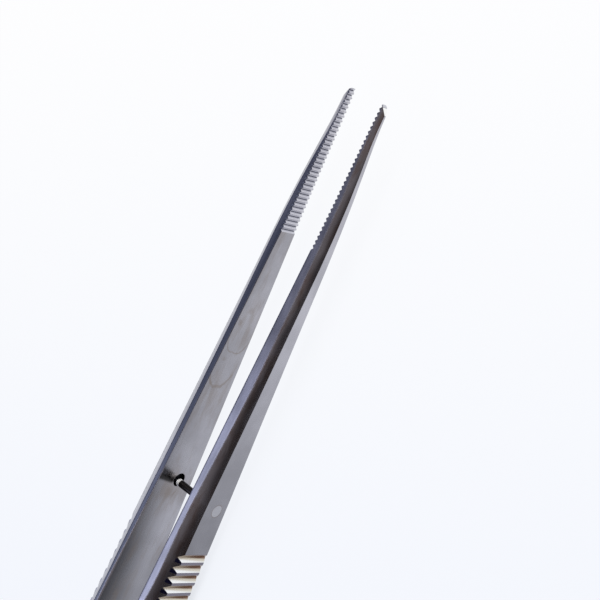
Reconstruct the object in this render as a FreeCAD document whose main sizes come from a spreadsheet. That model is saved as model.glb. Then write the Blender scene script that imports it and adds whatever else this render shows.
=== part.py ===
# Dissecting forceps: two sprung arms joined at the bow, serrated jaws, a guide pin
# riveted into one arm that enters a hole in the other, and ribbed finger grips.
#
# Frame: X runs along the forceps with the tips at +X, Y from the near arm (-Y) to
# the far arm (+Y), and Z across the width of the arms. The forceps lie on the long
# edges of both arms at Z = 0. The origin is under the middle of the outer box.
# "Station" is a distance back from the tips. All lengths are in millimetres.
import FreeCAD, Part
import Sketcher
import os

os.makedirs("parts", exist_ok=True)

doc = FreeCAD.newDocument("DissectingForceps")

# Driving dimensions: alias, value, meaning.
SIZES = [
    ("overall_length", 130.0, "tips to bow end"),
    ("weld_length", 8.0, "stretch at the bow where the arms lie face to face"),
    ("tip_gap", 4.2, "open gap between the inner faces at the tips"),
    ("grip_gap", 4.56, "open gap at the front of the finger grip"),
    ("body_gap", 5.16, "open gap along the full-width body"),
    ("jaw_station", 15.9, "back end of the serrated jaw"),
    ("shank_station", 30.0, "middle of the slender shank"),
    ("pin_station", 44.8, "guide pin axis"),
    ("grip_station", 56.0, "front of the finger grip"),
    ("body_station", 81.0, "start of the full-width body"),
    ("spring_station", 96.0, "start of the thin sprung curve towards the weld"),
    ("weld_slope", 0.04, "slope at which the inner faces part in front of the weld"),
    ("tip_width", 0.72, "arm width at the tip"),
    ("jaw_width", 2.15, "arm width behind the jaw"),
    ("shank_width", 3.68, "arm width on the shank"),
    ("pin_width", 5.3, "arm width at the guide pin"),
    ("grip_width", 6.8, "arm width at the front of the finger grip"),
    ("body_width", 7.5, "full arm width"),
    ("tip_flat", 0.1, "width of the outer flat at the tip"),
    ("jaw_flat", 0.92, "width of the outer flat behind the jaw"),
    ("shank_flat", 1.9, "width of the outer flat on the shank"),
    ("pin_flat", 3.22, "width of the outer flat at the guide pin"),
    ("grip_flat", 3.8, "width of the outer flat at the front of the finger grip"),
    ("body_flat", 4.9, "width of the outer flat at the full-width body"),
    ("tail_flat", 6.3, "width of the outer flat at the weld"),
    ("tip_land", 0.28, "height of the narrow side face at the tip"),
    ("jaw_land", 0.9, "height of the side face behind the jaw"),
    ("shank_low_land", 1.2, "height of the lower side face on the shank"),
    ("shank_high_land", 0.66, "height of the upper side face on the shank"),
    ("pin_low_land", 0.72, "height of the lower side face at the guide pin"),
    ("pin_high_land", 0.58, "height of the upper side face at the guide pin"),
    ("grip_low_land", 0.82, "height of the lower side face at the finger grip"),
    ("grip_high_land", 0.42, "height of the upper side face at the finger grip"),
    ("body_land", 0.6, "height of the side faces on the body"),
    ("front_break", 0.02, "chamfer on the long inner edges ahead of the grip"),
    ("grip_break", 0.17, "chamfer on the long inner edges from the grip to the bow"),
    ("tip_thickness", 0.8, "arm thickness at the tip"),
    ("jaw_thickness", 1.6, "arm thickness behind the jaw"),
    ("grip_thickness", 2.05, "arm thickness at the grip and body"),
    ("spring_thickness", 1.15, "arm thickness at the weld"),
    ("tip_corner", 0.26, "corner radius of the tip, seen from inside"),
    ("tip_nose", 0.15, "thickness left at the very tip"),
    ("tip_facet", 1.0, "length of the slanted facet outside the tip"),
    ("tail_corner", 2.2, "corner radius of the bow end"),
    ("serration_first", 0.27, "station of the first serration"),
    ("serration_pitch", 0.5, "pitch of the serrations"),
    ("serration_depth", 0.22, "depth of the serrations"),
    ("serration_mouth", 0.46, "width of a serration at the inner face"),
    ("groove_first", 50.35, "station of the first grip groove"),
    ("groove_run", 19.5, "length of the grooved grip"),
    ("groove_pitch", 1.2, "pitch of the grip grooves"),
    ("groove_mouth", 0.8, "width of a grip groove at the outer face"),
    ("groove_depth", 0.4, "depth of the grip grooves"),
    ("pin_diameter", 0.8, "guide pin"),
    ("pin_drop", 0.24, "pin axis below the middle of the arms"),
    ("pin_standoff", 0.12, "open gap between the pin's tip and the far arm"),
    ("pin_nose", 0.22, "length of the pin's rounded nose"),
    ("head_diameter", 1.35, "riveted head of the pin"),
    ("head_height", 0.3, "height of the countersunk head"),
    ("head_sink", 0.02, "riveted head below the outer face"),
    ("rivet_clearance", 0.01, "between the pin and its own arm"),
    ("guide_clearance", 0.375, "between the pin and the guide hole, all round"),
    ("hole_drop", 0.29, "guide hole axis below the pin axis"),
    ("hole_lead", 0.08, "guide hole axis ahead of the pin axis"),
]
sheet = doc.addObject("Spreadsheet::Sheet", "Sizes")
for row, (alias, value, meaning) in enumerate(SIZES, start=1):
    sheet.set(f"A{row}", alias)
    sheet.set(f"B{row}", str(value))
    sheet.set(f"C{row}", meaning)
    sheet.setAlias(f"B{row}", alias)
doc.recompute()


def size(alias):
    """The expression that reads one driving dimension."""
    return f"Sizes.{alias}"


def between(station, start, start_value, end, end_value):
    """Expression for a value that changes evenly from one station to another."""
    rise = f"(({end_value}) - ({start_value})) / (({end}) - ({start}))"
    return f"(({start_value}) + {rise} * (({station}) - ({start})))"


def through(station, points):
    """Expression for a value that changes evenly from each point to the next.

    A point is a station and the value there."""
    (start, start_value), (end, end_value) = points[:2]
    run = between(station, start, start_value, end, end_value)
    if len(points) == 2:
        return run
    return f"(({station}) < ({end}) ? {run} : {through(station, points[1:])})"


def along(station):
    """Expression for the X of a station."""
    return f"({size('overall_length')} / 2 - ({station}))"


WELD_FRONT = f"({size('overall_length')} - {size('weld_length')})"
MIDDLE = f"({size('body_width')} / 2)"
INNER_SLOPE = f"(({size('grip_gap')} - {size('tip_gap')}) / 2 / {size('grip_station')})"
BODY_INNER = f"({size('body_gap')} / 2)"
# Steps of the smooth curves from the tip to the grip, the body and the weld. Each curve
# has evenly spaced sections, so that it doesn't wave between them.
FRONT_STEPS = 7
SWELL_STEPS = 4
SPRING_STEPS = 6


def curved(station, start, end):
    """Expression for a value on a cubic curve.

    start and end are each a station with the value and the slope there."""
    (first, first_value, first_slope), (last, last_value, last_slope) = start, end
    run = f"(({last}) - ({first}))"
    share = f"((({station}) - ({first})) / {run})"
    rest = f"(1 - {share})"
    return (
        f"(({first_value}) * {rest} ^ 2 * (1 + 2 * {share})"
        f" + ({last_value}) * {share} ^ 2 * (3 - 2 * {share})"
        f" + {run} * {share} * {rest} * (({first_slope}) * {rest} - ({last_slope}) * {share}))"
    )


def swelling(station, grip, body):
    """Expression for a value that eases from the grip into the full-width body."""
    run = f"(({size('body_station')}) - ({size('grip_station')}))"
    rest = f"((({size('body_station')}) - ({station})) / {run})"
    return f"(({body}) - (({body}) - ({grip})) * {rest} ^ 2)"


def inner_ahead(station):
    """Inner face ahead of the grip, as a distance from the middle plane."""
    return f"({size('tip_gap')} / 2 + {INNER_SLOPE} * ({station}))"


def inner_in_swell(station):
    """Inner face between the front of the grip and the full-width body."""
    return swelling(station, f"{size('grip_gap')} / 2", BODY_INNER)


def inner_in_spring(station):
    """Inner face behind the body: one curve that ends almost flat at the weld."""
    start = (size("spring_station"), BODY_INNER, "0")
    return curved(station, start, (WELD_FRONT, "0", f"-{size('weld_slope')}"))


def springing(station, body, weld):
    """Expression for a value that eases from the body to the weld."""
    return curved(station, (size("spring_station"), body, "0"), (WELD_FRONT, weld, "0"))


def thickness_ahead(station):
    return through(
        station,
        [
            ("0", size("tip_thickness")),
            (size("jaw_station"), size("jaw_thickness")),
            (size("grip_station"), size("grip_thickness")),
        ],
    )


def named_points(kind):
    """The values of one kind at the tip, jaw, shank, pin and grip, for through()."""
    return [("0", size(f"tip_{kind}"))] + [
        (size(f"{place}_station"), size(f"{place}_{kind}")) for place in ("jaw", "shank", "pin", "grip")
    ]


def origin_plane(body, role):
    """One of a body's own origin planes, by its role."""
    return next(item for item in body.Origin.OriginFeatures if item.Role == role)


def add_sketch(body, name, role):
    sketch = body.newObject("Sketcher::SketchObject", name)
    sketch.AttachmentSupport = [(origin_plane(body, role), "")]
    sketch.MapMode = "FlatFace"
    return sketch


def number(sketch, expression):
    """The present value of an expression, to place geometry before it is constrained."""
    result = sketch.evalExpression(expression)
    return float(getattr(result, "Value", result))


def bind(sketch, constraint, expression):
    """Add one constraint and tie its value to an expression."""
    index = sketch.addConstraint(constraint)
    sketch.setExpression(f"Constraints[{index}]", expression)


def pin_point(sketch, edge, end, point):
    """Hold one end of an edge at a place given by two expressions."""
    across, up = point
    bind(sketch, Sketcher.Constraint("DistanceX", -1, 1, edge, end, number(sketch, across)), across)
    bind(sketch, Sketcher.Constraint("DistanceY", -1, 1, edge, end, number(sketch, up)), up)


def closed_outline(sketch, corners):
    """A closed run of straight edges through corners given as expressions."""
    places = [FreeCAD.Vector(number(sketch, x), number(sketch, y), 0) for x, y in corners]
    for start, end in zip(places, places[1:] + places[:1]):
        sketch.addGeometry(Part.LineSegment(start, end), False)
    for edge, corner in enumerate(corners):
        following = (edge + 1) % len(corners)
        sketch.addConstraint(Sketcher.Constraint("Coincident", edge, 2, following, 1))
        pin_point(sketch, edge, 1, corner)


def add_circle(sketch, centre, radius):
    """A full circle whose centre and radius are expressions."""
    place = FreeCAD.Vector(number(sketch, centre[0]), number(sketch, centre[1]), 0)
    circle = Part.Circle(place, FreeCAD.Vector(0, 0, 1), number(sketch, radius))
    edge = sketch.addGeometry(circle, False)
    pin_point(sketch, edge, 3, centre)
    bind(sketch, Sketcher.Constraint("Radius", edge, number(sketch, radius)), radius)


def arm_section(body, name, station, inner, width, lands, thickness, flat, edge_break):
    """One cross-section of an arm: inner face, two side faces, two bevels, outer flat.

    lands are the heights of the lower and the upper side face, and edge_break is the
    chamfer between each of them and the inner face."""
    sketch = add_sketch(body, name, "YZ_Plane")
    sketch.setExpression("AttachmentOffset.Base.z", along(station))
    low_shoulder, high_shoulder = (f"({inner}) + ({land})" for land in lands)
    broken = f"({inner}) + ({edge_break})"
    outer = f"({inner}) + ({thickness})"
    low_edge, high_edge = f"{MIDDLE} - ({width}) / 2", f"{MIDDLE} + ({width}) / 2"
    low_flat, high_flat = f"{MIDDLE} - ({flat}) / 2", f"{MIDDLE} + ({flat}) / 2"
    corners = [
        (inner, f"{low_edge} + ({edge_break})"),
        (broken, low_edge),
        (low_shoulder, low_edge),
        (outer, low_flat),
        (outer, high_flat),
        (high_shoulder, high_edge),
        (broken, high_edge),
        (inner, f"{high_edge} - ({edge_break})"),
    ]
    closed_outline(sketch, corners)
    return sketch


def front_section(body, name, station):
    """A section of the tapering front, between the tip and the finger grip."""
    lands = [
        [
            ("0", size("tip_land")),
            (size("jaw_station"), size("jaw_land")),
            (size("shank_station"), size(f"shank_{side}_land")),
            (size("pin_station"), size(f"pin_{side}_land")),
            (size("grip_station"), size(f"grip_{side}_land")),
        ]
        for side in ("low", "high")
    ]
    breaks = [
        ("0", size("front_break")),
        (size("pin_station"), size("front_break")),
        (size("grip_station"), size("grip_break")),
    ]
    return arm_section(
        body,
        name,
        station,
        inner_ahead(station),
        through(station, named_points("width")),
        [through(station, points) for points in lands],
        thickness_ahead(station),
        through(station, named_points("flat")),
        through(station, breaks),
    )


def swell_section(body, name, station):
    """A section between the finger grip and the full-width body."""
    return arm_section(
        body,
        name,
        station,
        inner_in_swell(station),
        swelling(station, size("grip_width"), size("body_width")),
        (
            swelling(station, size("grip_low_land"), size("body_land")),
            swelling(station, size("grip_high_land"), size("body_land")),
        ),
        size("grip_thickness"),
        swelling(station, size("grip_flat"), size("body_flat")),
        size("grip_break"),
    )


def spring_section(body, name, station):
    """A section of the thinning curve between the body and the weld."""
    return arm_section(
        body,
        name,
        station,
        inner_in_spring(station),
        size("body_width"),
        (size("body_land"), size("body_land")),
        springing(station, size("grip_thickness"), size("spring_thickness")),
        springing(station, size("body_flat"), size("tail_flat")),
        size("grip_break"),
    )


def tail_section(body, name, station):
    """A section of the flat tail, where the two arms lie face to face."""
    return arm_section(
        body,
        name,
        station,
        "0",
        size("body_width"),
        (size("body_land"), size("body_land")),
        size("spring_thickness"),
        size("tail_flat"),
        size("grip_break"),
    )


def add_loft(body, name, sections, ruled):
    loft = body.newObject("PartDesign::AdditiveLoft", name)
    loft.Profile = sections[0]
    loft.Sections = sections[1:]
    loft.Ruled = ruled
    body.Tip = loft
    return loft


def add_pocket(body, name, sketch):
    """Cut a sketch right through, the same way to both sides of its plane."""
    pocket = body.newObject("PartDesign::Pocket", name)
    pocket.Profile = sketch
    pocket.Midplane = True
    pocket.Type = "Length"
    pocket.setExpression("Length", f"2 * ({size('body_width')} + {size('body_gap')})")
    body.Tip = pocket
    return pocket


def add_row(body, name, feature, sketch, run, pitch):
    """Repeat a cut backwards along its sketch's own horizontal axis."""
    row = body.newObject("PartDesign::LinearPattern", name)
    row.Originals = [feature]
    row.Direction = (sketch, ["H_Axis"])
    row.Reversed = True
    copies = f"(floor(({run}) / ({pitch})) + 1)"
    row.setExpression("Occurrences", copies)
    row.setExpression("Length", f"({copies} - 1) * ({pitch})")
    body.Tip = row
    return row


def tilted_sketch(body, name, station, distance, slope):
    """A sketch in plan view whose horizontal axis follows a sloping face of the arm."""
    sketch = add_sketch(body, name, "XY_Plane")
    sketch.AttachmentOffset = FreeCAD.Placement(
        FreeCAD.Vector(0, 0, 0), FreeCAD.Rotation(FreeCAD.Vector(0, 0, 1), -1)
    )
    sketch.setExpression("AttachmentOffset.Base.x", along(station))
    sketch.setExpression("AttachmentOffset.Base.y", distance)
    sketch.setExpression("AttachmentOffset.Base.z", MIDDLE)
    sketch.setExpression("AttachmentOffset.Rotation.Angle", f"-atan({slope})")
    doc.recompute()
    return sketch


def blank(body):
    """The bare arm: a tapering front, a full-width body, a thin sprung curve, a flat tail."""
    front = []
    for step in range(FRONT_STEPS + 1):
        station = between(step, 0, "0", FRONT_STEPS, size("grip_station"))
        front.append(front_section(body, f"FrontSection{step}", station))
    add_loft(body, "Front", front, False)
    doc.recompute()
    swell = []
    for step in range(SWELL_STEPS + 1):
        station = between(step, 0, size("grip_station"), SWELL_STEPS, size("body_station"))
        swell.append(swell_section(body, f"SwellSection{step}", station))
    add_loft(body, "Swell", swell, False)
    doc.recompute()
    straight = [
        swell_section(body, "BodyStart", size("body_station")),
        spring_section(body, "BodyEnd", size("spring_station")),
    ]
    add_loft(body, "Straight", straight, True)
    doc.recompute()
    spring = []
    for step in range(SPRING_STEPS + 1):
        station = between(step, 0, size("spring_station"), SPRING_STEPS, WELD_FRONT)
        spring.append(spring_section(body, f"SpringSection{step}", station))
    add_loft(body, "Spring", spring, False)
    doc.recompute()
    tail = [
        tail_section(body, "TailStart", WELD_FRONT),
        tail_section(body, "TailEnd", size("overall_length")),
    ]
    add_loft(body, "Tail", tail, True)
    doc.recompute()


def round_end(body, name, station, into, width, radius):
    """Trim both corners of one end of the arm to arcs.

    station is the end itself, into is the sign of X from the end into the arm."""
    sketch = add_sketch(body, name + "Sketch", "XZ_Plane")
    end = along(station)
    start = f"({end} + ({into}) * ({radius}))"
    beyond = f"({end} - ({into}))"
    margin = size("body_width")
    low, high = f"({MIDDLE} - ({width}) / 2)", f"({MIDDLE} + ({width}) / 2)"
    low_arc, high_arc = f"({low} + ({radius}))", f"({high} - ({radius}))"
    corners = [
        (beyond, f"{low} - {margin}"),
        (start, f"{low} - {margin}"),
        (start, low),
        (end, low_arc),
        (end, high_arc),
        (start, high),
        (start, f"{high} + {margin}"),
        (beyond, f"{high} + {margin}"),
    ]
    places = [FreeCAD.Vector(number(sketch, x), number(sketch, y), 0) for x, y in corners]
    bulges = {2: (start, low_arc), 4: (start, high_arc)}
    for edge, place in enumerate(places):
        following = places[(edge + 1) % len(places)]
        if edge in bulges:
            centre_x, centre_y = (number(sketch, value) for value in bulges[edge])
            reach = number(sketch, radius) / 2 ** 0.5
            side = 1 if centre_x < number(sketch, end) else -1
            lean = 1 if edge == 4 else -1
            crown = FreeCAD.Vector(centre_x + side * reach, centre_y + lean * reach, 0)
            sketch.addGeometry(Part.Arc(place, crown, following), False)
        else:
            sketch.addGeometry(Part.LineSegment(place, following), False)
    ends = {}
    for edge in range(len(places)):
        ends[edge] = edge_ends(sketch, edge, places[edge])
    for edge, corner in enumerate(corners):
        following = (edge + 1) % len(corners)
        sketch.addConstraint(
            Sketcher.Constraint("Coincident", edge, ends[edge][1], following, ends[following][0])
        )
        pin_point(sketch, edge, ends[edge][0], corner)
    for edge in bulges:
        bind(sketch, Sketcher.Constraint("Radius", edge, number(sketch, radius)), radius)
    add_pocket(body, name, sketch)
    doc.recompute()


def edge_ends(sketch, edge, start):
    """Which end of an edge (1 or 2) lies at start, and which at the other end."""
    first = sketch.getPoint(edge, 1)
    return (1, 2) if (first - start).Length < 1e-6 else (2, 1)


def slant_tip(body):
    """Grind the outside of the tip to a slanted facet."""
    sketch = add_sketch(body, "TipFacetSketch", "XY_Plane")
    sketch.setExpression("AttachmentOffset.Base.z", MIDDLE)
    nose = f"({inner_ahead('0')} + {size('tip_nose')})"
    outer = f"({inner_ahead('0')} + {size('tip_thickness')})"
    rise = f"(({outer}) - ({nose}))"
    tip = along("0")
    corners = [
        (f"{tip} + {size('tip_facet')}", f"{nose} - {rise}"),
        (f"{tip} + {size('tip_facet')}", f"{outer} + {rise}"),
        (f"{tip} - 2 * {size('tip_facet')}", f"{outer} + {rise}"),
    ]
    closed_outline(sketch, corners)
    add_pocket(body, "TipFacet", sketch)
    doc.recompute()


def vee(sketch, centre, mouth, depth, outward):
    """A V notch in the sketch's horizontal axis, cut in from the side given by outward.

    The V runs on as far outside the surface as it is deep, so its sides meet the surface
    exactly one mouth apart."""
    corners = [
        (f"{centre} - {mouth}", f"({outward}) * {depth}"),
        (f"{centre} + {mouth}", f"({outward}) * {depth}"),
        (centre, f"-({outward}) * {depth}"),
    ]
    closed_outline(sketch, corners)


def cut_serrations(body):
    """Transverse V grooves across the inner face of the jaw."""
    sketch = tilted_sketch(body, "SerrationSketch", "0", inner_ahead("0"), INNER_SLOPE)
    first = f"-{size('serration_first')}"
    vee(sketch, first, size("serration_mouth"), size("serration_depth"), "-1")
    groove = add_pocket(body, "Serration", sketch)
    doc.recompute()
    run = f"{size('jaw_station')} - {size('serration_first')}"
    add_row(body, "Serrations", groove, sketch, run, size("serration_pitch"))
    doc.recompute()


def cut_grip(body):
    """V grooves across the outside, which run out to points on the bevels."""
    first = size("groove_first")
    last = f"({first} + {size('groove_run')})"
    start = f"({inner_ahead(first)} + {thickness_ahead(first)})"
    end = f"({inner_in_swell(last)} + {size('grip_thickness')})"
    slope = f"(({end} - {start}) / {size('groove_run')})"
    sketch = tilted_sketch(body, "GripSketch", first, start, slope)
    vee(sketch, "0", size("groove_mouth"), size("groove_depth"), "1")
    groove = add_pocket(body, "GripGroove", sketch)
    doc.recompute()
    add_row(body, "Grip", groove, sketch, size("groove_run"), size("groove_pitch"))
    doc.recompute()


def make_arm(name):
    """An arm as it is stamped and ground, on the +Y side."""
    body = doc.addObject("PartDesign::Body", name)
    body.Label = name
    blank(body)
    tip_width = through(size("tip_corner"), named_points("width"))
    round_end(body, "TipRound", "0", "-1", tip_width, size("tip_corner"))
    round_end(body, "TailRound", size("overall_length"), "1", size("body_width"), size("tail_corner"))
    slant_tip(body)
    cut_serrations(body)
    cut_grip(body)
    return body


PIN_HEIGHT = f"({MIDDLE} - {size('pin_drop')})"
PIN_RADIUS = f"({size('pin_diameter')} / 2)"
PIN_INNER = inner_ahead(size("pin_station"))
PIN_OUTER = f"({PIN_INNER} + {thickness_ahead(size('pin_station'))})"


def make_far_arm():
    """The arm with the guide hole."""
    body = make_arm("hole_arm")
    sketch = add_sketch(body, "GuideHoleSketch", "XZ_Plane")
    centre = (
        along(f"{size('pin_station')} - {size('hole_lead')}"),
        f"{PIN_HEIGHT} - {size('hole_drop')}",
    )
    add_circle(sketch, centre, f"{PIN_RADIUS} + {size('guide_clearance')}")
    add_pocket(body, "GuideHole", sketch)
    doc.recompute()
    return body


def make_near_arm():
    """The arm that carries the pin: the same arm turned over about its length."""
    body = make_arm("pin_arm")
    sketch = add_sketch(body, "RivetHoleSketch", "XY_Plane")
    sketch.setExpression("AttachmentOffset.Base.x", along(size("pin_station")))
    sketch.setExpression("AttachmentOffset.Base.z", f"{size('body_width')} - {PIN_HEIGHT}")
    shank = f"{PIN_RADIUS} + {size('rivet_clearance')}"
    head = f"{size('head_diameter')} / 2 + {size('rivet_clearance')}"
    seat = f"{PIN_OUTER} - {size('head_sink')} - {size('head_height')}"
    rim = f"{PIN_OUTER} - {size('head_sink')}"
    corners = [
        ("0", f"{PIN_INNER} - {size('head_height')}"),
        (shank, f"{PIN_INNER} - {size('head_height')}"),
        (shank, seat),
        (head, rim),
        (head, f"{PIN_OUTER} + {size('head_height')}"),
        ("0", f"{PIN_OUTER} + {size('head_height')}"),
    ]
    closed_outline(sketch, corners)
    hole = body.newObject("PartDesign::Groove", "RivetHole")
    hole.Profile = sketch
    hole.ReferenceAxis = (sketch, ["V_Axis"])
    hole.Angle = 360
    body.Tip = hole
    body.Placement = FreeCAD.Placement(
        FreeCAD.Vector(0, 0, 0), FreeCAD.Rotation(FreeCAD.Vector(1, 0, 0), 180)
    )
    body.setExpression("Placement.Base.z", size("body_width"))
    doc.recompute()
    return body


def make_pin():
    """The guide pin: countersunk riveted head, plain shank, rounded nose."""
    body = doc.addObject("PartDesign::Body", "guide_pin")
    body.Label = "guide_pin"
    sketch = add_sketch(body, "PinSketch", "XY_Plane")
    sketch.setExpression("AttachmentOffset.Base.x", along(size("pin_station")))
    sketch.setExpression("AttachmentOffset.Base.z", PIN_HEIGHT)
    rim = f"{size('head_sink')} - {PIN_OUTER}"
    nose = f"{PIN_INNER} - {size('pin_standoff')}"
    corners = [
        ("0", rim),
        (f"{size('head_diameter')} / 2", rim),
        (PIN_RADIUS, f"{rim} + {size('head_height')}"),
        (PIN_RADIUS, f"{nose} - {size('pin_nose')}"),
        (f"{PIN_RADIUS} / 2", f"{nose}"),
        ("0", nose),
    ]
    closed_outline(sketch, corners)
    turned = body.newObject("PartDesign::Revolution", "Turned")
    turned.Profile = sketch
    turned.ReferenceAxis = (sketch, ["V_Axis"])
    turned.Angle = 360
    body.Tip = turned
    doc.recompute()
    return body


pieces = [make_far_arm(), make_near_arm(), make_pin()]
doc.recompute()

for item in doc.Objects:
    if "Invalid" in item.State or "Error" in item.State:
        raise RuntimeError(f"{item.Name} did not recompute: {item.State}")
for piece in pieces:
    if piece.Shape.isNull() or not piece.Shape.isValid():
        raise RuntimeError(f"{piece.Label} has no valid shape")
    print(piece.Label, "volume", round(piece.Shape.Volume, 2), "mm3", piece.Shape.BoundBox)
for piece in pieces:
    piece.Shape.exportStep(f"parts/{piece.Label}.step")
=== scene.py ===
# Looks of the dissecting forceps: satin steel arms with faint water stains, a turned guide
# pin, a pale floor and a soft studio surround. Lengths are in metres, in the part's frame,
# apart from places on the part, which are in millimetres.
import math

import bpy
from mathutils import Matrix, Vector


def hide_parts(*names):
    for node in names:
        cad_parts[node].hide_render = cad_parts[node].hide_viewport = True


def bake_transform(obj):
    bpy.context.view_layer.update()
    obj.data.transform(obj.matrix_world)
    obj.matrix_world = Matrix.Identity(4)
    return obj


MM = 0.001
PER_METRE = 1000.0

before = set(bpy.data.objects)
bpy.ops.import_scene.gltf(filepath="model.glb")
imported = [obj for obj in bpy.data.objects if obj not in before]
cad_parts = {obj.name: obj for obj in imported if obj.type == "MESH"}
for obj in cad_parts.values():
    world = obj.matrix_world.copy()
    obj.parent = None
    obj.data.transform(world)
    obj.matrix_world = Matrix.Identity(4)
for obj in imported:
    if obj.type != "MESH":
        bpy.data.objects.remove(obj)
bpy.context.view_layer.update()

# Camera, from a fit to the jaw, the pin and the edges of both arms. Angles are in degrees.
AIM = Vector((42.854, 0.075, 0.0)) * MM
VIEW_AZIMUTH = 18.43
VIEW_ELEVATION = 51.619
VIEW_ROLL = -80.039
VIEW_DISTANCE = 184.194 * MM
LENS = 107.386
SENSOR = 36.0
NEAREST_SEEN = 0.01
FARTHEST_SEEN = 20.0

# Floor: bluish, then white along the way of its tint, and with a painted contact shadow close to the
# forceps.
FLOOR_SIZE = 6.0
FLOOR_GLOW = 0.95
FLOOR_BLUE = (0.885, 0.915, 0.985, 1.0)
FLOOR_WHITE = (0.99, 0.99, 0.992, 1.0)
FLOOR_TINT_WAY = (0.9, 0.436, 0.0)
FLOOR_TINT_RUN = (-30.0 * MM, 90.0 * MM)
CONTACT_REACH = 3.0 * MM
CONTACT_SHADE = (0.1, 0.5, 0.7, 1.0)

# Surround: a place in it is an azimuth and an elevation in degrees. The tint of a place starts
# at one cosine of the angle from it and is full at another.
ROOM_TINT = (0.27, 0.24, 0.24, 1.0)
BACK_WALL = ((180.0, 10.0), (0.4, 0.85), (0.19, 0.205, 0.31, 1.0))
WINDOW = ((-112.0, 45.0), (0.79, 0.9), (1.12, 1.2, 1.55, 1.0))
ROOM_SIDE = ((-20.0, 18.0), (0.8, 0.95), (0.04, 0.034, 0.036, 1.0))

# Key lamp: its place in the surround, and its power in watts.
KEY_PLACE = (90.0, 38.0)
KEY_DISTANCE = 0.6
KEY_SIZE = 0.3
KEY_POWER = 3.0

# Places on the part, in millimetres. A station is a distance back from the tips, and a place
# in plan is an X and a Z.
TIP_X = 65.0
FACET_END = 1.1
JAW_END = 16.2
TEETH_BOTTOM_Y = 2.42
FIRST_SERRATION = 0.27
SERRATION_PITCH = 0.5
FIRST_GROOVE = 50.35
LAST_GROOVE = 69.55
GROOVE_PITCH = 1.2
GROOVE_HALF = 0.4
GRIP_MARGIN = 0.5
PIN_AXIS = (20.2, 3.51)
PIN_HEAD_RADIUS = 0.675
GUIDE_HOLE = (20.28, 3.22)
GUIDE_HOLE_RADIUS = 0.775
HOLE_MARGIN = 0.02
# Runs along Y over which the pin gets a painted highlight at its nose, and painted shade along its
# shank past its riveted head.
PIN_NOSE = (1.5, 1.65)
PIN_HEAD = (-3.6, -3.2)
# Distance of the shoulder between side face and bevel, and of the outer flat, from the middle
# plane, at stations along an arm.
SHOULDER = ((0.0, 2.38), (15.9, 3.05), (30.0, 3.4), (44.8, 2.96), (56.0, 3.1), (81.0, 3.18))
OUTSIDE = ((0.0, 2.9), (15.9, 3.75), (30.0, 3.95), (44.8, 4.17), (56.0, 4.33), (81.0, 4.63))

# Limits on the parts of a normal, which tell the faces of an arm apart.
SQUARE_ON = 0.95
WALL_LEAN = 0.35
SIDE_LEAN = 0.3
BEVEL_TILT = 0.2
TOOTH_LEAN = 0.12

# Colours of the steel, and of the painted light and shade on it.
SATIN = (0.44, 0.435, 0.475)
# A painted highlight colour: on the groove walls, the near tip facet and the pin's nose.
PAINTED_HIGHLIGHT = (0.97, 0.97, 0.95, 1.0)
PALE = (0.86, 0.86, 0.93, 1.0)
CREAM = (0.68, 0.63, 0.52, 1.0)
# A painted shade colour, on the front walls of the grip grooves.
PAINTED_WALL_SHADE = (0.3, 0.23, 0.19, 1.0)
BROWN = (0.22, 0.13, 0.09, 1.0)
STAIN = (0.2, 0.155, 0.12, 1.0)
# A painted shade colour, on the ribs of the grip.
PLUM = (0.17, 0.145, 0.2, 1.0)
# A painted shade colour: on the far side face and at the bottom of the serrations.
SLATE = (0.08, 0.09, 0.118, 1.0)
# A painted shadow colour, beside the grip grooves.
NAVY = (0.03, 0.035, 0.18, 1.0)
# Painted shade in the guide hole, and the pin's painted reflection.
BLACK = (0.02, 0.018, 0.018, 1.0)
PIN_GREY = (0.4, 0.4, 0.43, 1.0)
# A painted shade colour, along the pin's shank.
PIN_SHANK_SHADE = (0.05, 0.045, 0.045, 1.0)

# Grain of the noises, in repeats per metre: along X, Y and Z, or alike along all three.
GRINDING_GRAIN = (30.0, 2600.0, 2600.0)
FILM_GRAIN = (180.0, 800.0, 800.0)
CLOUD_GRAIN = 220.0
DROP_GRAIN = 700.0

# Surface: the middle roughness and how far the noises change it, and the relief.
SATIN_ROUGHNESS = 0.26
ROUGHNESS_BY_LINES = 0.1
ROUGHNESS_BY_CLOUD = 0.12
PIN_ROUGHNESS = 0.3
# How far the pin's nose is made not metal, for its painted highlight.
NOSE_HIGHLIGHT_NONMETAL = 0.7
LINE_DEPTH = 0.004 * MM
LINE_STRENGTH = 0.35
EDGE_RADIUS = 0.3 * MM
EDGE_SAMPLES = 8

# Ramps. Each starts at the first number and ends at the second, and the other two, where it
# has them, are its values there. They run over a length in millimetres, a noise, or a share
# of a bevel, of a pitch or of a groove's wall.
# Painted light and shade on the near arm's flats, brighter towards the tips.
FLATS_PAINTED_LIGHT = (12.0, 48.0, 0.56, 1.07)
# Painted shade on the inside of the far arm, low and high on it.
INSIDE_LOW_PAINTED_SHADE = (6.0, 18.0, 0.64, 0.9)
INSIDE_HIGH_PAINTED_SHADE = (6.0, 28.0, 0.28, 0.78)
INSIDE_HEIGHT = (1.8, 6.2)
# Painted shade on the near arm's bevels, darker towards the jaw.
BEVEL_SHADE = (36.0, 50.0, 1.0, 0.78)
STREAKS = (0.35, 0.65, 0.86, 1.12)
CLOUDING = (0.3, 0.7, 0.88, 1.08)
PATCHES = (0.42, 0.68)
# Painted shade on the far arm's side face, by distance past the shoulder.
FAR_SIDE_PAINTED_SHADE = (-0.7, 0.0, 0.86, 0.55)
# Painted shade line at the bottom of each serration, over a share of the pitch.
TEETH_SHADE_LINE = (0.03, 0.13, 1.0, 0.0)
CLIMB_LEAD = (1.5, 7.0, -0.2, 0.35)
BROWN_TO_CREAM = (0.0, 0.4)
CREAM_TO_PAINTED_HIGHLIGHT = (0.45, 1.0)
CROWN = (0.0, 1.1, 0.95, 0.54)
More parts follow.
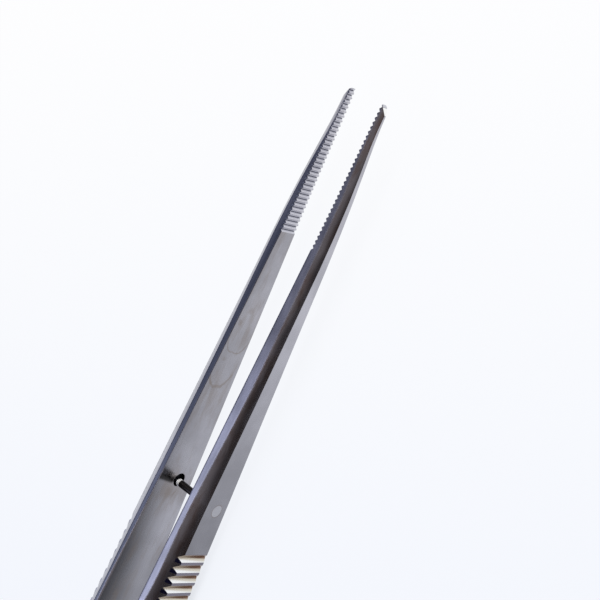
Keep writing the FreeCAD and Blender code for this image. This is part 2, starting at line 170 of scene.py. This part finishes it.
# Painted sheen: brightness of the near arm's side face, at stations along it.
NEAR_SHEEN = ((0.0, 0.68), (25.0, 0.7), (35.0, 1.25), (47.0, 1.05), (60.0, 1.35), (72.0, 1.0))

# Shares in which a colour covers the one under it.
PATCH_ON_BEVEL = 0.6
PATCH_ON_INSIDE = 0.4
TIDE_SHARE = 0.6
TEETH_SHARE = 0.42
TEETH_SHADE_LINE_SHARE = 0.85
RIB_SHARE = 0.5
GROOVE_SHADOW_SHARE = 0.92
PIN_REFLECTION_SHARE = 0.94
RING_SHARE = 0.35

# The painted shadow beside each groove, on the bevel: from which share of the pitch and of the bevel
# it shows.
GROOVE_SHADOW_FROM_PITCH = 0.15
GROOVE_SHADOW_FROM_BEVEL = 0.62

# The painted reflection of the pin beside the guide hole: a dark slanted stripe through a place,
# with soft sides and a soft lower end.
PIN_REFLECTION_PLACE = (20.25, 4.2)
PIN_REFLECTION_SLANT = 0.2
PIN_REFLECTION_SIDES = (0.18, 0.55, 1.0, 0.0)
PIN_REFLECTION_LOWER_END = (3.8, 4.3)

# The ring round the riveted head fades over this distance from its rim.
RING_FADE = (0.02, 0.12, 1.0, 0.0)

# Dried rims of water drops: the centre in plan, the reach along X and Z, and the X from which
# the rim is missing.
TIDE_RIMS = (
    ((33.2, 4.2), (2.0, 1.75), 33.4),
    ((36.6, 3.75), (1.2, 1.6), 36.7),
    ((19.0, 3.5), (0.55, 0.6), 19.6),
)
TIDE_RAGGED = 1.3
TIDE_WIDTH = (0.03, 0.12, 1.0, 0.0)
TIDE_FADE = 0.8
TIDE_STRENGTH = 0.7
# Brown specks: the centre in plan and the radius.
SPECKS = (
    ((34.3, 4.8), 0.45),
    ((38.7, 4.8), 0.5),
    ((39.9, 4.0), 0.6),
    ((18.7, 4.0), 1.1),
)
SPECK_CORE = 0.2
SPECK_STRENGTH = 0.45

# Sockets of a mix node for each kind of data: both inputs and the output.
MIX_SOCKETS = {"RGBA": (6, 7, 2), "VECTOR": (4, 5, 1)}


def direction(azimuth, elevation):
    """Unit vector towards a place in the surround; azimuth 0 is -Y and 90 is +X."""
    turn = math.radians(azimuth)
    rise = math.radians(elevation)
    level = math.cos(rise)
    return Vector((math.sin(turn) * level, -math.cos(turn) * level, math.sin(rise)))


class Nodes:
    """A short way to write a node tree: each call adds one or a few nodes and returns an output."""

    def __init__(self, tree):
        self.tree = tree
        self.tree.nodes.clear()

    def add(self, kind, out=0, settings=None, **inputs):
        """Any node, with its inputs by name; an underscore stands for a space."""
        node = self.tree.nodes.new(kind)
        for name, value in (settings or {}).items():
            setattr(node, name, value)
        for name, value in inputs.items():
            self.put(node.inputs[name.replace("_", " ")], value)
        return node.outputs[out] if node.outputs else node

    def put(self, socket, value):
        """Link an output to a socket, or set the socket to a plain value."""
        if isinstance(value, bpy.types.NodeSocket):
            self.tree.links.new(value, socket)
        else:
            socket.default_value = value

    def math(self, operation, *values, clamp=False):
        node = self.tree.nodes.new("ShaderNodeMath")
        node.operation = operation
        node.use_clamp = clamp
        for socket, value in zip(node.inputs, values):
            self.put(socket, value)
        return node.outputs[0]

    def vector(self, operation, *values, out=0):
        node = self.tree.nodes.new("ShaderNodeVectorMath")
        node.operation = operation
        for socket, value in zip(node.inputs, values):
            self.put(socket, value)
        return node.outputs[out]

    def minus(self, value, other):
        return self.math("SUBTRACT", value, other)

    def absolute(self, value):
        """A value without its sign."""
        return self.math("ABSOLUTE", value)

    def above(self, value, limit):
        """1 where the value is above the limit, 0 elsewhere."""
        return self.math("GREATER_THAN", value, limit)

    def below(self, value, limit):
        """1 where the value is below the limit, 0 elsewhere."""
        return self.math("LESS_THAN", value, limit)

    def product(self, *values):
        """Several values multiplied."""
        result = values[0]
        for value in values[1:]:
            result = self.math("MULTIPLY", result, value)
        return result

    def smooth(self, value, low, high, from_value=0.0, to_value=1.0):
        """A smooth step of value between low and high."""
        node = self.tree.nodes.new("ShaderNodeMapRange")
        node.interpolation_type = "SMOOTHSTEP"
        for name, given in (
            ("Value", value),
            ("From Min", low),
            ("From Max", high),
            ("To Min", from_value),
            ("To Max", to_value),
        ):
            self.put(node.inputs[name], given)
        return node.outputs[0]

    def where(self, mask, value):
        """The value where the mask is 1, and 1 elsewhere."""
        return self.smooth(mask, 0.0, 1.0, 1.0, value)

    def mix(self, factor, first, second, kind="RGBA"):
        """Mix two colours, or two vectors with the kind VECTOR."""
        node = self.tree.nodes.new("ShaderNodeMix")
        node.data_type = kind
        first_socket, second_socket, out = MIX_SOCKETS[kind]
        self.put(node.inputs[0], factor)
        self.put(node.inputs[first_socket], first)
        self.put(node.inputs[second_socket], second)
        return node.outputs[out]

    def split(self, vector):
        """The three components of a vector."""
        node = self.tree.nodes.new("ShaderNodeSeparateXYZ")
        self.put(node.inputs[0], vector)
        return node.outputs[0], node.outputs[1], node.outputs[2]

    def scaled(self, vector, factor):
        """A vector times one factor."""
        node = self.tree.nodes.new("ShaderNodeVectorMath")
        node.operation = "SCALE"
        self.put(node.inputs[0], vector)
        self.put(node.inputs["Scale"], factor)
        return node.outputs[0]

    def profile(self, station, points):
        """A value that changes evenly from each point to the next along the arm."""
        result = points[0][1]
        for (start, low), (end, high) in zip(points, points[1:]):
            node = self.tree.nodes.new("ShaderNodeMapRange")
            self.put(node.inputs["Value"], station)
            self.put(node.inputs["From Min"], start)
            self.put(node.inputs["From Max"], end)
            self.put(node.inputs["To Max"], high - low)
            result = self.math("ADD", result, node.outputs[0])
        return result

    def distance(self, x, z, centre, reach=(1.0, 1.0)):
        """Distance in plan from a centre, in units of the reach along each axis."""
        across = self.math("DIVIDE", self.minus(x, centre[0]), reach[0])
        up = self.math("DIVIDE", self.minus(z, centre[1]), reach[1])
        square = self.math("ADD", self.product(across, across), self.product(up, up))
        return self.math("SQRT", square)

    def noise(self, coordinates, scale, detail=3.0, roughness=0.5):
        """Noise from 0 to 1 at a scale per metre."""
        return self.add(
            "ShaderNodeTexNoise",
            settings={"noise_dimensions": "3D"},
            Vector=coordinates,
            Scale=scale,
            Detail=detail,
            Roughness=roughness,
        )

    def place_in_mm(self):
        """The object's own coordinates: in metres, and split in millimetres."""
        place = self.add("ShaderNodeTexCoord", out="Object")
        return place, self.split(self.vector("MULTIPLY", place, (PER_METRE, PER_METRE, PER_METRE)))


def new_material(name):
    """An empty material and the nodes to fill it with."""
    material = bpy.data.materials.new(name)
    material.use_nodes = True
    return material, Nodes(material.node_tree)


class ArmFaces:
    """Where a point of an arm lies, and masks that are 1 on one kind of face and 0 elsewhere."""

    def __init__(self, nodes):
        self.place, (self.x, self.y, self.z) = nodes.place_in_mm()
        self.station = nodes.minus(TIP_X, self.x)
        self.normal = nodes.add("ShaderNodeNewGeometry", out="True Normal")
        self.along, across, self.upward = nodes.split(self.normal)
        self.steep = nodes.absolute(across)
        self.tilt = nodes.absolute(self.upward)

        self.near = nodes.below(self.y, 0.0)
        self.far = nodes.minus(1.0, self.near)
        self.inward = nodes.below(nodes.product(across, self.y), 0.0)
        self.level = nodes.above(self.steep, SQUARE_ON)
        self.sloping = nodes.below(self.steep, SQUARE_ON)
        self.side = nodes.above(self.tilt, SQUARE_ON)
        self.bevel = nodes.product(
            nodes.above(self.steep, SIDE_LEAN), self.sloping, nodes.above(self.tilt, BEVEL_TILT)
        )
        self.not_wall = nodes.below(nodes.absolute(self.along), WALL_LEAN)
        self.near_flats = nodes.product(self.near, self.level)
        self.near_bevel = nodes.product(self.bevel, self.near)
        self.far_inside = nodes.product(self.far, self.inward, self.level)
        self.teeth = nodes.product(
            nodes.below(self.station, JAW_END),
            nodes.above(nodes.absolute(self.along), WALL_LEAN),
            nodes.below(nodes.absolute(self.y), TEETH_BOTTOM_Y),
        )

        # How far a point is past the shoulder, and over which share of the bevel.
        shoulder = nodes.profile(self.station, SHOULDER)
        width = nodes.minus(nodes.profile(self.station, OUTSIDE), shoulder)
        self.past_shoulder = nodes.minus(nodes.absolute(self.y), shoulder)
        self.over_bevel = nodes.math("DIVIDE", self.past_shoulder, width, clamp=True)


def painted_light_and_clouding(nodes, face, film, cloud):
    """Brightness of the steel under its stains: painted light and shade on some faces, times a random
    clouding.
    """
    # Painted light and shade: the near arm's flats are brighter towards the tips than at the grip.
    flats = nodes.smooth(face.x, *FLATS_PAINTED_LIGHT)
    # Painted shade: the inside of the far arm is darker towards the bow and its upper edge.
    lower = nodes.smooth(face.x, *INSIDE_LOW_PAINTED_SHADE)
    upper = nodes.smooth(face.x, *INSIDE_HIGH_PAINTED_SHADE)
    inside = nodes.smooth(face.z, *INSIDE_HEIGHT, lower, upper)
    # Painted sheen on the near arm's side face, with streaks; painted shade on its bevels, darker at
    # the jaw.
    # Painted sheen along the near side face.
    sheen = nodes.product(nodes.profile(face.station, NEAR_SHEEN), nodes.smooth(film, *STREAKS))
    # Painted shade on the near bevels.
    shade = nodes.smooth(face.x, *BEVEL_SHADE)
    return nodes.product(
        nodes.where(face.near_flats, flats),
        nodes.where(face.far_inside, inside),
        nodes.where(nodes.product(face.side, face.near), sheen),
        nodes.where(face.near_bevel, shade),
        nodes.smooth(cloud, *CLOUDING),
    )


def tide_lines(nodes, face):
    """Dried rims of water drops and brown specks on the inside of the far arm."""
    ragged = nodes.product(nodes.minus(nodes.noise(face.place, DROP_GRAIN), 0.5), TIDE_RAGGED)
    x = nodes.math("ADD", face.x, ragged)
    result = 0.0
    for centre, reach, open_from in TIDE_RIMS:
        away = nodes.absolute(nodes.minus(nodes.distance(x, face.z, centre, reach), 1.0))
        rim = nodes.smooth(away, *TIDE_WIDTH)
        closed = nodes.smooth(x, open_from - TIDE_FADE, open_from, 1.0, 0.0)
        result = nodes.math("MAXIMUM", result, nodes.product(rim, closed, TIDE_STRENGTH))
    for centre, radius in SPECKS:
        away = nodes.distance(x, face.z, centre)
        speck = nodes.smooth(away, radius * SPECK_CORE, radius, SPECK_STRENGTH, 0.0)
        result = nodes.math("MAXIMUM", result, speck)
    return result


def add_stains_and_side_shade(nodes, face, tone, film):
    """Brown patches and tide lines, and painted shade on the side face of the far arm."""
    patches = nodes.smooth(film, *PATCHES)
    tone = nodes.mix(nodes.product(patches, face.near_bevel, PATCH_ON_BEVEL), tone, BROWN)
    tone = nodes.mix(nodes.product(patches, face.inward, face.level, PATCH_ON_INSIDE), tone, STAIN)
    tides = nodes.product(tide_lines(nodes, face), face.far_inside, TIDE_SHARE)
    tone = nodes.mix(tides, tone, STAIN)
    # Painted shade: the far side face is dark slate, darkest along its inner edge.
    slate = nodes.smooth(face.past_shoulder, *FAR_SIDE_PAINTED_SHADE)
    return nodes.mix(nodes.product(face.side, face.far, slate), tone, SLATE)


def add_serrations(nodes, face, tone):
    """Pale serrations, with a painted shade line at the bottom of each."""
    turn = nodes.math("DIVIDE", nodes.minus(face.station, FIRST_SERRATION), SERRATION_PITCH)
    line = nodes.smooth(nodes.math("PINGPONG", turn, 0.5), *TEETH_SHADE_LINE)
    tone = nodes.mix(nodes.product(face.teeth, TEETH_SHARE), tone, PALE)
    return nodes.mix(nodes.product(face.teeth, line, TEETH_SHADE_LINE_SHARE), tone, SLATE)


def add_grip(nodes, face, tone):
    """Grip grooves, in painted light and shade: brown shade at the bottom and on the front wall,
    and a painted highlight at the top of the rear wall.

    The ribs between them are painted a darker plum, with a painted shadow on the bevels."""
    grip = nodes.product(
        nodes.above(face.station, FIRST_GROOVE - GRIP_MARGIN),
        nodes.below(face.station, LAST_GROOVE + GRIP_MARGIN),
        nodes.minus(1.0, face.inward),
    )
    # The phase runs from -0.5 to 0.5 over a pitch and is 0 at the bottom of a groove. The climb
    # is 1 at the top of its rear wall, and gets there sooner towards the upper edge.
    count = nodes.math("DIVIDE", nodes.minus(face.station, FIRST_GROOVE), GROOVE_PITCH)
    phase = nodes.minus(nodes.math("FRACT", nodes.math("ADD", count, 0.5)), 0.5)
    climb = nodes.product(phase, GROOVE_PITCH / GROOVE_HALF)
    climb = nodes.math("ADD", climb, nodes.smooth(face.z, *CLIMB_LEAD))
    # Painted light and shade on the rear wall: brown shade low, then cream, then a painted highlight.
    rear = nodes.mix(nodes.smooth(climb, *BROWN_TO_CREAM), BROWN, CREAM)
    rear = nodes.mix(nodes.smooth(climb, *CREAM_TO_PAINTED_HIGHLIGHT), rear, PAINTED_HIGHLIGHT)
    tone = nodes.mix(nodes.product(grip, nodes.above(face.along, WALL_LEAN)), tone, rear)
    # Painted shade on the front wall of each groove.
    tone = nodes.mix(nodes.product(grip, nodes.below(face.along, -WALL_LEAN)), tone, PAINTED_WALL_SHADE)
    # Painted shade: the ribs in the grip are darker and plum.
    tone = nodes.mix(nodes.product(grip, face.level, RIB_SHARE), tone, PLUM)
    # Painted shadow on the bevel beside each groove.
    rim = nodes.product(
        grip,
        face.bevel,
        nodes.above(phase, GROOVE_SHADOW_FROM_PITCH),
        nodes.above(face.over_bevel, GROOVE_SHADOW_FROM_BEVEL),
        face.not_wall,
    )
    return nodes.mix(nodes.product(rim, GROOVE_SHADOW_SHARE), tone, NAVY)


def add_tip_facet_highlight(nodes, face, tone):
    """A painted highlight on the slanted facet at the near tip."""
    facet = nodes.product(
        face.near,
        nodes.below(face.station, FACET_END),
        nodes.above(face.along, WALL_LEAN),
        nodes.minus(1.0, face.teeth),
    )
    # Painted highlight on the facet.
    return nodes.mix(facet, tone, PAINTED_HIGHLIGHT)


def shade_reflection_and_dirt_at_pin(nodes, face, tone):
    """The guide hole in painted shade, the painted reflection of the pin beside it, and the dirt round
    the riveted head.
    """
    # Painted shade: the guide hole is black inside.
    within = nodes.below(nodes.distance(face.x, face.z, GUIDE_HOLE), GUIDE_HOLE_RADIUS + HOLE_MARGIN)
    tone = nodes.mix(nodes.product(within, face.sloping, face.far), tone, BLACK)

    # Painted reflection of the pin, dark, on the inside of the far arm.
    slant = nodes.product(nodes.minus(face.z, PIN_REFLECTION_PLACE[1]), PIN_REFLECTION_SLANT)
    beside = nodes.absolute(nodes.minus(nodes.minus(face.x, slant), PIN_REFLECTION_PLACE[0]))
    pin_reflection = nodes.product(
        nodes.smooth(beside, *PIN_REFLECTION_SIDES),
        nodes.smooth(face.z, *PIN_REFLECTION_LOWER_END),
        face.far_inside,
        PIN_REFLECTION_SHARE,
    )
    tone = nodes.mix(pin_reflection, tone, BLACK)

    from_axis = nodes.distance(face.x, face.z, PIN_AXIS)
    from_rim = nodes.absolute(nodes.minus(from_axis, PIN_HEAD_RADIUS))
    ring = nodes.product(nodes.smooth(from_rim, *RING_FADE), face.near_flats, RING_SHARE)
    return nodes.mix(ring, tone, BROWN)


def satin_roughness(nodes, lines, cloud):
    """Roughness that changes a little with the grinding lines and the cloud."""
    by_lines = nodes.product(nodes.minus(lines, 0.5), ROUGHNESS_BY_LINES)
    by_cloud = nodes.product(nodes.minus(cloud, 0.5), ROUGHNESS_BY_CLOUD)
    return nodes.math("ADD", SATIN_ROUGHNESS, nodes.math("ADD", by_lines, by_cloud))


def bevel_crown(nodes, face):
    """What curves the bevels, as ground by hand: up at the side face and out at the flat."""
    lift = nodes.minus(nodes.smooth(face.over_bevel, *CROWN), face.tilt)
    return nodes.product(face.bevel, nodes.math("SIGN", face.upward), lift)


def rounded_normal(nodes, face):
    """The crowned normal, eased over the long edges but not at the outer flat or in grooves."""
    eased = nodes.add("ShaderNodeBevel", settings={"samples": EDGE_SAMPLES}, Radius=EDGE_RADIUS)
    eased_along, eased_across, _ = nodes.split(eased)
    on_side = nodes.below(face.steep, SIDE_LEAN)
    leans_up = nodes.below(nodes.absolute(eased_across), face.steep)
    not_tooth = nodes.below(nodes.absolute(eased_along), TOOTH_LEAN)
    on_long_edge = nodes.math("MAXIMUM", on_side, leans_up)
    share = nodes.product(on_long_edge, face.sloping, face.not_wall, not_tooth)
    normal = nodes.mix(share, face.normal, eased, kind="VECTOR")
    crown = nodes.product(bevel_crown(nodes, face), face.sloping, face.not_wall)
    lean = nodes.add("ShaderNodeCombineXYZ", Z=crown)
    return nodes.vector("NORMALIZE", nodes.vector("ADD", normal, lean))


def satin_steel():
    """Ground stainless steel of both arms, with its marks from grinding and water, and painted light
    and shade.
    """
    material, nodes = new_material("satin_arm_steel")
    face = ArmFaces(nodes)
    along_lines = nodes.vector("MULTIPLY", face.place, GRINDING_GRAIN)
    lines = nodes.noise(along_lines, 1.0, detail=4.0, roughness=0.6)
    along_film = nodes.vector("MULTIPLY", face.place, FILM_GRAIN)
    film = nodes.noise(along_film, 1.0, detail=5.0, roughness=0.65)
    cloud = nodes.noise(face.place, CLOUD_GRAIN, detail=4.0, roughness=0.55)

    tone = nodes.scaled(SATIN, painted_light_and_clouding(nodes, face, film, cloud))
    tone = add_stains_and_side_shade(nodes, face, tone, film)
    tone = add_serrations(nodes, face, tone)
    tone = add_grip(nodes, face, tone)
    tone = add_tip_facet_highlight(nodes, face, tone)
    tone = shade_reflection_and_dirt_at_pin(nodes, face, tone)

    bump = nodes.add(
        "ShaderNodeBump",
        Strength=LINE_STRENGTH,
        Distance=LINE_DEPTH,
        Height=lines,
        Normal=rounded_normal(nodes, face),
    )
    surface = nodes.add(
        "ShaderNodeBsdfPrincipled",
        Base_Color=tone,
        Metallic=1.0,
        Roughness=satin_roughness(nodes, lines, cloud),
        Normal=bump,
    )
    nodes.add("ShaderNodeOutputMaterial", Surface=surface)
    return material


def pin_steel():
    """The pin: painted shade along its shank, a painted highlight at its nose, and plain grey at the
    riveted head.
    """
    material, nodes = new_material("turned_pin_steel")
    _, (_, y, _) = nodes.place_in_mm()
    nose = nodes.smooth(y, *PIN_NOSE)
    head = nodes.smooth(y, *PIN_HEAD, 1.0, 0.0)
    # Painted shade along the shank, plain grey at the riveted head.
    tone = nodes.mix(head, PIN_SHANK_SHADE, PIN_GREY)
    # Painted highlight at the nose: pale and less metal, so that the lamps light it.
    tone = nodes.mix(nose, tone, PAINTED_HIGHLIGHT)
    surface = nodes.add(
        "ShaderNodeBsdfPrincipled",
        Base_Color=tone,
        Metallic=nodes.minus(1.0, nodes.product(nose, NOSE_HIGHLIGHT_NONMETAL)),
        Roughness=PIN_ROUGHNESS,
    )
    nodes.add("ShaderNodeOutputMaterial", Surface=surface)
    return material


def seen_by_eye_or_mirror(nodes):
    """1 for camera, reflected and transmitted rays, 0 for the rays that carry diffuse light."""
    path = nodes.tree.nodes.new("ShaderNodeLightPath")
    either = nodes.math("MAXIMUM", path.outputs["Is Camera Ray"], path.outputs["Is Glossy Ray"])
    return nodes.math("MAXIMUM", either, path.outputs["Is Transmission Ray"])


def floor_paper():
    """Pale paper: it glows for the camera and in mirrors, and is plain paper to other light."""
    material, nodes = new_material("floor_paper")
    place = nodes.add("ShaderNodeTexCoord", out="Object")
    way = nodes.vector("DOT_PRODUCT", place, FLOOR_TINT_WAY, out="Value")
    tint = nodes.mix(nodes.smooth(way, *FLOOR_TINT_RUN), FLOOR_BLUE, FLOOR_WHITE)
    diffuse = nodes.add("ShaderNodeBsdfDiffuse", Color=tint)
    open_sky = nodes.add("ShaderNodeAmbientOcclusion", out=1, Distance=CONTACT_REACH)
    # Painted shade: the glow dims where the forceps hide the sky, as a contact shadow.
    glow = nodes.add("ShaderNodeEmission", Color=tint, Strength=nodes.smooth(open_sky, *CONTACT_SHADE))
    surface = nodes.tree.nodes.new("ShaderNodeMixShader")
    nodes.put(surface.inputs[0], nodes.product(seen_by_eye_or_mirror(nodes), FLOOR_GLOW))
    nodes.put(surface.inputs[1], diffuse)
    nodes.put(surface.inputs[2], glow)
    nodes.add("ShaderNodeOutputMaterial", Surface=surface.outputs[0])
    return material


def make_floor():
    """A square floor under the forceps."""
    mesh = bpy.data.meshes.new("floor")
    half = FLOOR_SIZE / 2
    corners = [(-half, -half, 0), (half, -half, 0), (half, half, 0), (-half, half, 0)]
    mesh.from_pydata(corners, [], [(0, 1, 2, 3)])
    mesh.materials.append(floor_paper())
    floor = bpy.data.objects.new("floor", mesh)
    bpy.context.scene.collection.objects.link(floor)


def make_world():
    """A dim room: a blue window behind the far arm, a grey back wall and a dark room side."""
    world = bpy.data.worlds.new("studio")
    bpy.context.scene.world = world
    world.use_nodes = True
    nodes = Nodes(world.node_tree)
    towards = nodes.add("ShaderNodeTexCoord", out="Generated")
    room = ROOM_TINT
    for place, (start, end), tint in (BACK_WALL, WINDOW, ROOM_SIDE):
        nearness = nodes.vector("DOT_PRODUCT", towards, direction(*place), out="Value")
        room = nodes.mix(nodes.smooth(nearness, start, end), room, tint)
    # The camera itself sees plain white past the floor.
    path = nodes.tree.nodes.new("ShaderNodeLightPath")
    seen = nodes.mix(path.outputs["Is Camera Ray"], room, (1.0, 1.0, 1.0, 1.0))
    surface = nodes.add("ShaderNodeBackground", Color=seen, Strength=1.0)
    nodes.add("ShaderNodeOutputWorld", Surface=surface)


def make_camera():
    """The camera of the photograph."""
    data = bpy.data.cameras.new("camera")
    data.lens = LENS
    data.sensor_width = SENSOR
    data.clip_start = NEAREST_SEEN
    data.clip_end = FARTHEST_SEEN
    camera = bpy.data.objects.new("camera", data)
    back = direction(VIEW_AZIMUTH, VIEW_ELEVATION)
    turn = (-back).to_track_quat("-Z", "Y").to_matrix()
    turn = turn @ Matrix.Rotation(math.radians(VIEW_ROLL), 3, "Z")
    camera.matrix_world = Matrix.Translation(AIM + back * VIEW_DISTANCE) @ turn.to_4x4()
    bpy.context.scene.collection.objects.link(camera)
    bpy.context.scene.camera = camera


def make_key_lamp():
    """A square white lamp that looks at the middle of the forceps."""
    data = bpy.data.lights.new("key", "AREA")
    data.size = KEY_SIZE
    data.energy = KEY_POWER
    towards = direction(*KEY_PLACE)
    lamp = bpy.data.objects.new("key", data)
    lamp.location = towards * KEY_DISTANCE
    lamp.rotation_euler = (-towards).to_track_quat("-Z", "Y").to_euler()
    bpy.context.scene.collection.objects.link(lamp)


def dress(node_name, material):
    """Give a CAD node a finished material."""
    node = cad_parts[node_name]
    node.data.materials[0] = material
    return node


def bending_copy(node_name, name, material):
    """A copy of a CAD arm with a material, shown in place of the CAD arm, which is hidden."""
    piece = bpy.data.objects.new(name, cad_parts[node_name].data.copy())
    piece.data.materials[0] = material
    bpy.context.scene.collection.objects.link(piece)
    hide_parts(node_name)
    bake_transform(piece)
    return piece


arm_steel = satin_steel()
dress("hole_arm", arm_steel)
dress("guide_pin", pin_steel())
near_arm = bending_copy("pin_arm", "pin_arm_flexing", arm_steel)
make_floor()
make_world()
make_camera()
bpy.context.scene.view_settings.view_transform = "Standard"
make_key_lamp()
